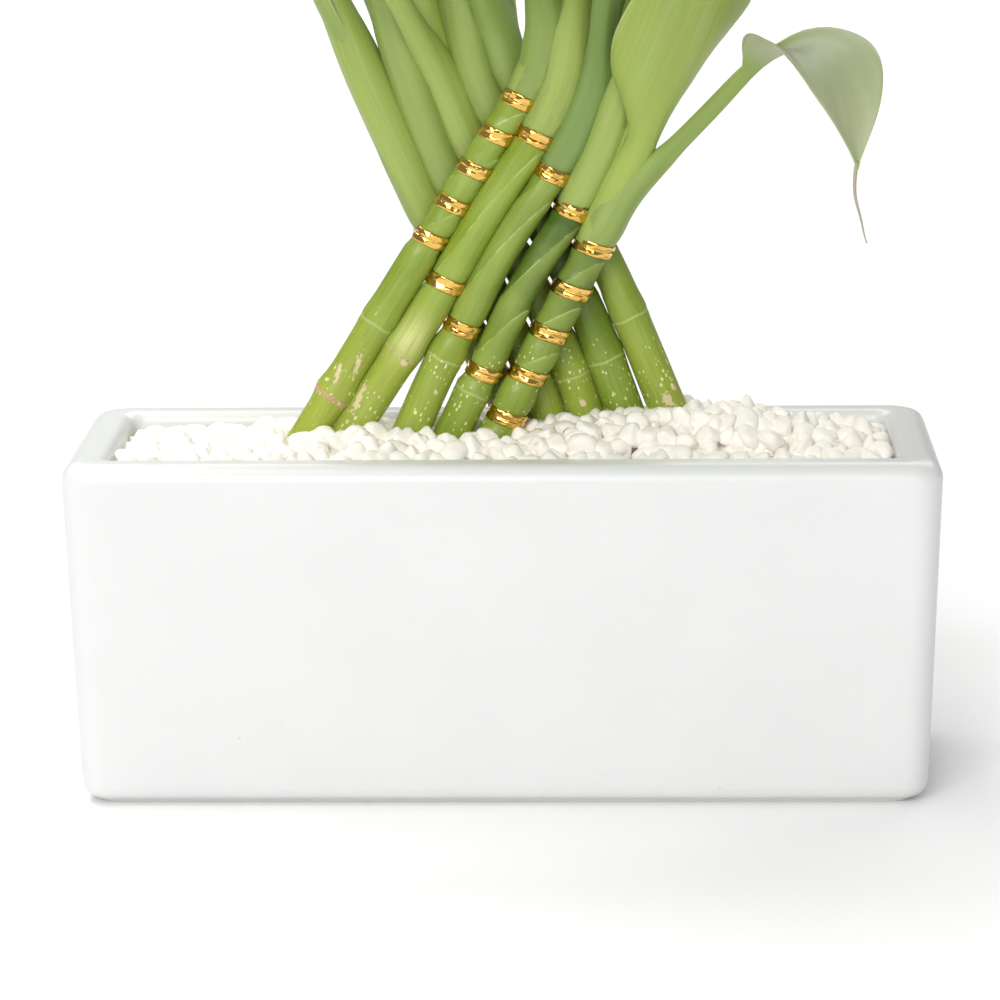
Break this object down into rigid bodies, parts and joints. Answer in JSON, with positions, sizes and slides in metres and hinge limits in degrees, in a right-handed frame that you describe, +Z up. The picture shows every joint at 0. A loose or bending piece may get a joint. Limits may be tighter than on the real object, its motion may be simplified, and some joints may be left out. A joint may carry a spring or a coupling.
{
  "type": "lucky bamboo in a rectangular planter",
  "caption": "Potted lucky bamboo: straight canes crossed in a tied lattice under a spreading crown of leaves, standing in gravel in a rectangular ceramic planter.",
  "frame": {"origin": "middle of the pot's flat underside", "axes": "+Z up, +X to the right along the pot's length as seen from its front, -Y towards the front"},
  "size_m": [0.2826, 0.2556, 0.3727],
  "materials": {
    "pot_glaze": "glossy white glaze",
    "gravel": "matte white marble chips",
    "plant": "waxy green canes and leaves",
    "tie_foil": "shiny gold foil"
  },
  "bodies": {
    "root": {"pot": "pot_glaze", "gravel": "gravel", "front_stalk_1": "plant", "front_stalk_2": "plant", "front_stalk_3": "plant", "front_stalk_4": "plant", "front_stalk_5": "plant", "back_stalk_1": "plant", "back_stalk_2": "plant", "back_stalk_3": "plant", "back_stalk_4": "plant", "back_stalk_5": "plant", "tie_1_1": "tie_foil", "tie_1_2": "tie_foil", "tie_1_3": "tie_foil", "tie_1_4": "tie_foil", "tie_1_5": "tie_foil", "tie_2_1": "tie_foil", "tie_2_5": "tie_foil", "tie_3_1": "tie_foil", "tie_3_5": "tie_foil", "tie_4_1": "tie_foil", "tie_4_5": "tie_foil", "tie_5_1": "tie_foil", "tie_5_2": "tie_foil", "tie_5_3": "tie_foil", "tie_5_4": "tie_foil", "tie_5_5": "tie_foil"}
  },
  "joints": []
}
